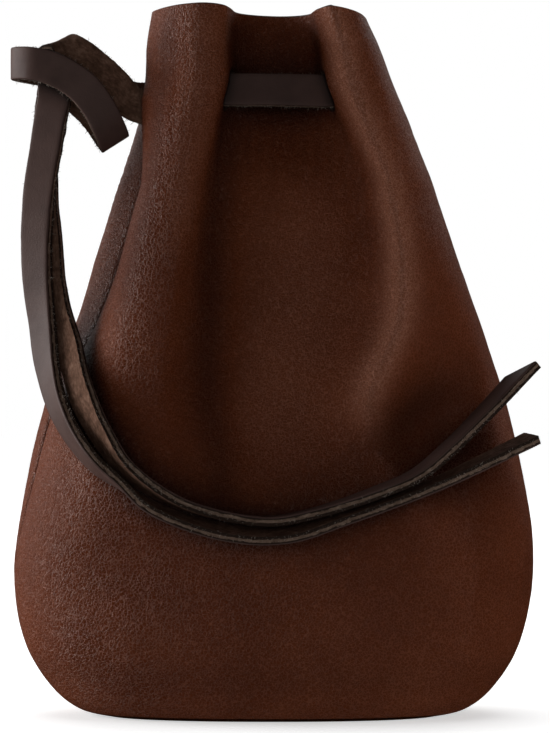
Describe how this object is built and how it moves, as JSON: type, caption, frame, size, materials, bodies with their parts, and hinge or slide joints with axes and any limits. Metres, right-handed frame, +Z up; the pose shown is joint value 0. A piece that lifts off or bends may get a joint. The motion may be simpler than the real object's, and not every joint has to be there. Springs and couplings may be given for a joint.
{
  "type": "drawstring pouch",
  "caption": "Soft leather drawstring pouch, gathered at the neck by a flat lace drawn through slits and knotted at one side, standing on its flattened base.",
  "frame": {"origin": "middle of the pouch's outline in plan, on the surface that it stands on", "axes": "+Z up through the mouth, -Y out of the front that the lace ends lie across, +X to the right seen from the front"},
  "size_m": [0.1161, 0.0625, 0.1558],
  "materials": {
    "pouch_leather": "satin full grain, reddish dark brown",
    "lace_leather": "matt dark brown grain with a suede flesh side and raw edges"
  },
  "bodies": {
    "root": {"front_panel": "pouch_leather", "back_panel": "pouch_leather", "lace_loop": "lace_leather", "lace_tail_outer": "lace_leather", "lace_tail_inner": "lace_leather"}
  },
  "joints": []
}
